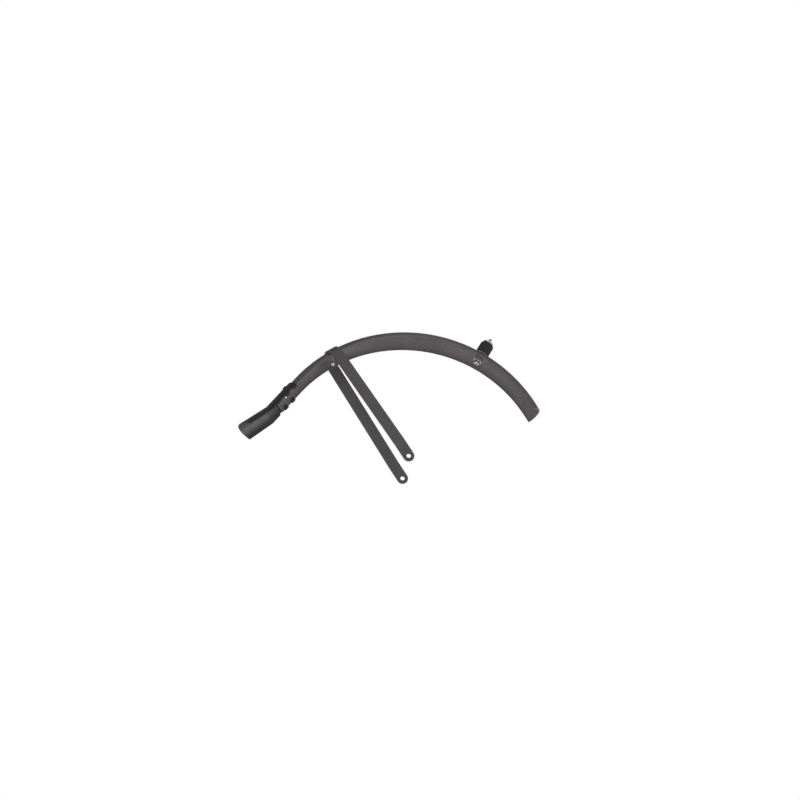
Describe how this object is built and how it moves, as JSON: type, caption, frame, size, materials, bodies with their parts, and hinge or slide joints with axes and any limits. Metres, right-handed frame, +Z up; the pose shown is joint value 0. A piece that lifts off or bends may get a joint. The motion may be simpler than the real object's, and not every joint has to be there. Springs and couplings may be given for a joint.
{
  "type": "bicycle front mudguard",
  "caption": "Arched front mudguard for a small bicycle, with a strap stay reaching the fork ends, a flared rear flap and a rubber expander plug for the steerer tube.",
  "frame": {"origin": "centre of the expander plug's base, where the fork crown meets it", "axes": "+Z up the plug's axis into the steerer tube, +X forward along the blade, +Y to the rider's left"},
  "size_m": [0.356, 0.0966, 0.3095],
  "materials": {
    "charcoal_plastic": "moulded, matt",
    "charcoal_paint": "powder coat, satin",
    "black_plastic": "moulded, satin",
    "black_rubber": "moulded, matt",
    "zinc_steel": "zinc plated"
  },
  "bodies": {
    "root": {"mudguard_blade": "charcoal_plastic", "stay_strap": "charcoal_paint", "stay_rivets": "zinc_steel", "mud_flap": "black_plastic", "flap_rivet": "zinc_steel", "plug_base_washer": "zinc_steel", "steerer_plug": "black_rubber", "plug_top_plate": "zinc_steel", "crown_bolt": "zinc_steel", "bolt_washer": "zinc_steel"}
  },
  "joints": []
}
